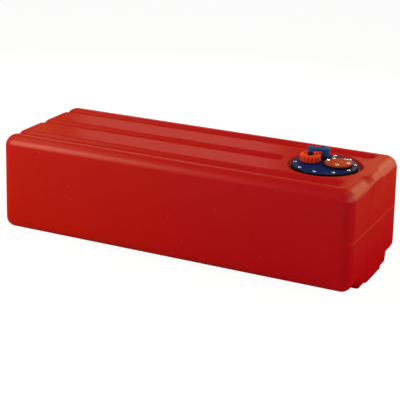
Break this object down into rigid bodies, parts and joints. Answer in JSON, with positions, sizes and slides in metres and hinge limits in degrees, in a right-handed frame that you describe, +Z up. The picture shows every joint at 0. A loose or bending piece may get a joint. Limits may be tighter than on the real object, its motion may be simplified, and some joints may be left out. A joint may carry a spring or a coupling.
{
  "type": "inboard fuel tank",
  "caption": "Long moulded plastic fuel tank with a bolted service flange that carries a screw cap, a swivel draw-off elbow, a roll-over vent and a blanked sender port.",
  "frame": {"origin": "on the floor under the middle of the tank's overall box", "axes": "+X along the tank towards the flange end, +Y across it towards the vent, +Z up"},
  "size_m": [1, 0.372, 0.319],
  "materials": {
    "tank_plastic": "satin",
    "flange_plastic": "satin",
    "fitting_plastic": "satin",
    "cap_plastic": "satin",
    "black_plastic": "satin",
    "pale_plastic": "satin",
    "seal_rubber": "matte",
    "screw_steel": "bright",
    "insert_brass": "machined"
  },
  "bodies": {
    "tank": {"tank_shell": "tank_plastic", "flange_gasket": "seal_rubber", "flange_plate": "flange_plastic", "flange_screws": "screw_steel", "flange_inserts": "insert_brass", "neck_gasket": "seal_rubber", "draw_off_stem": "black_plastic", "pickup_tube": "pale_plastic", "pickup_strainer": "black_plastic", "vent_gasket": "seal_rubber", "vent_collar": "black_plastic", "vent_body": "fitting_plastic", "vent_nut": "black_plastic", "vent_stop": "black_plastic", "vent_hose_tail": "black_plastic", "sender_gasket": "seal_rubber", "sender_plate": "cap_plastic", "sender_screws": "screw_steel", "sender_inserts": "insert_brass"},
    "cap_ring": {"cap_slip_ring": "pale_plastic"},
    "cap": {"screw_cap": "cap_plastic"},
    "elbow": {"outlet_elbow": "fitting_plastic", "elbow_o_ring": "seal_rubber", "elbow_snap_ring": "screw_steel"},
    "ball": {"vent_ball": "screw_steel"}
  },
  "joints": [
    {"name": "cap_lift", "type": "slide", "parent": "tank", "child": "cap_ring", "axis": [0, 0, 1], "range_m": [0, 0.0045]},
    {"name": "cap_turn", "type": "hinge", "parent": "cap_ring", "child": "cap", "pos_m": [0.315, 0, 0.29], "axis": [0, 0, 1], "range_deg": [0, 540]},
    {"name": "elbow_swivel", "type": "hinge", "parent": "tank", "child": "elbow", "pos_m": [0.315, 0, 0.312], "axis": [0, 0, 1], "continuous": true},
    {"name": "ball_rise", "type": "slide", "parent": "tank", "child": "ball", "axis": [0, 0, 1], "range_m": [0, 0.0048]}
  ],
  "couplings": [
    {"joint": "cap_lift", "follows": "cap_turn", "m_per_rad": 0.000477}
  ]
}
